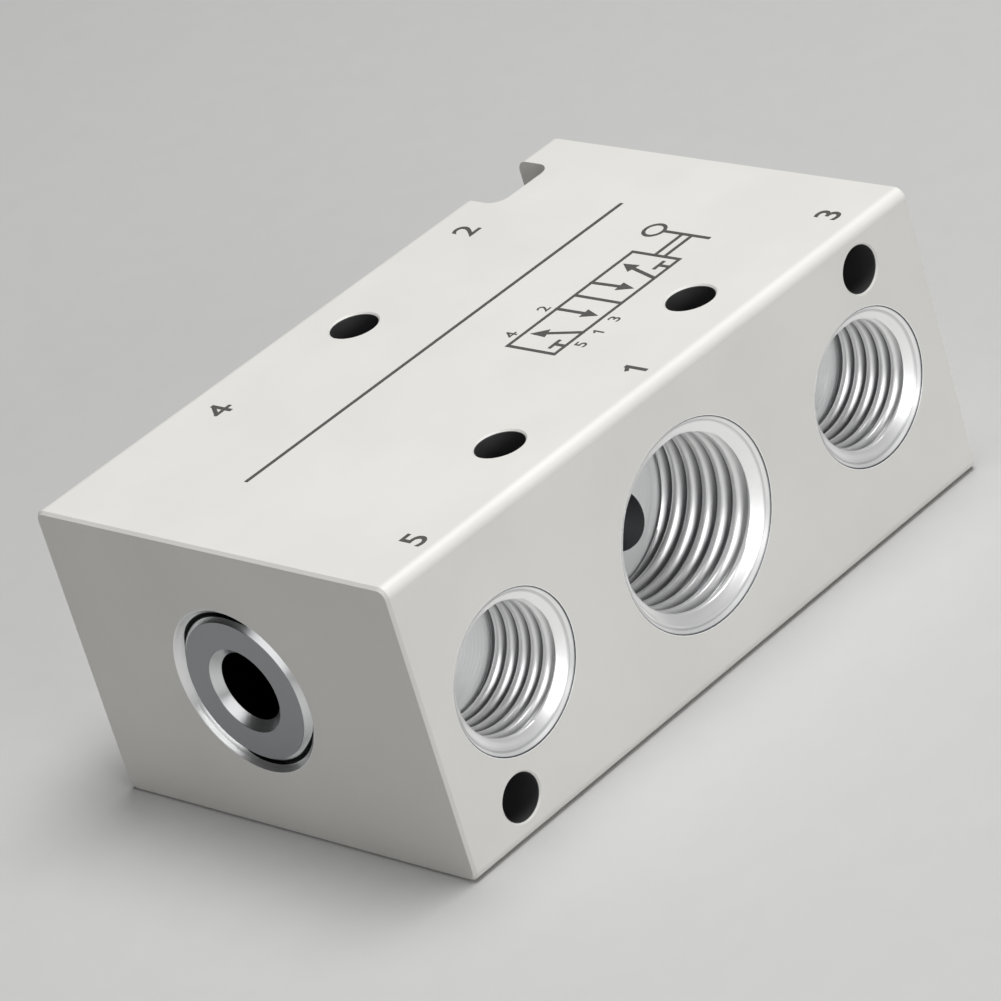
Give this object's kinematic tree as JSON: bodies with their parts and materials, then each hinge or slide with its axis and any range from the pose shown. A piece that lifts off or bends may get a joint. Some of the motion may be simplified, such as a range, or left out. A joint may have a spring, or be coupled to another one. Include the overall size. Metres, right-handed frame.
{
  "type": "hand lever air valve",
  "caption": "Five-port spool valve body with its sliding spool and seals, pipe ports on both sides, fixing holes and a tapped tail for a lever.",
  "frame": {"origin": "centre of the block's plain bottom face", "axes": "+X along the spool towards the lever end, +Y towards the two outlet ports, +Z out of the printed face"},
  "size_m": [0.0526, 0.033, 0.022],
  "materials": {
    "body": "blasted and clear anodised",
    "bush": "turned, dark",
    "spool": "turned and polished",
    "guide": "turned",
    "clip": "spring steel, blackened",
    "seal": "moulded nitrile",
    "guide_ring": "plain"
  },
  "bodies": {
    "housing": {"valve_body": "body", "end_bush": "bush", "tail_guide": "guide", "tail_guide_clip": "clip", "end_bush_seal": "seal", "tail_guide_seal": "seal", "tail_seal": "seal"},
    "spool": {"spool": "spool", "spool_guide_ring_near": "guide_ring", "spool_guide_ring_far": "guide_ring", "spool_seal_1": "seal", "spool_seal_2": "seal", "spool_seal_3": "seal", "spool_seal_4": "seal", "spool_seal_5": "seal", "spool_seal_6": "seal"}
  },
  "joints": [
    {"name": "spool_slide", "type": "slide", "parent": "housing", "child": "spool", "axis": [1, 0, 0], "range_m": [0, 0.0029]}
  ]
}
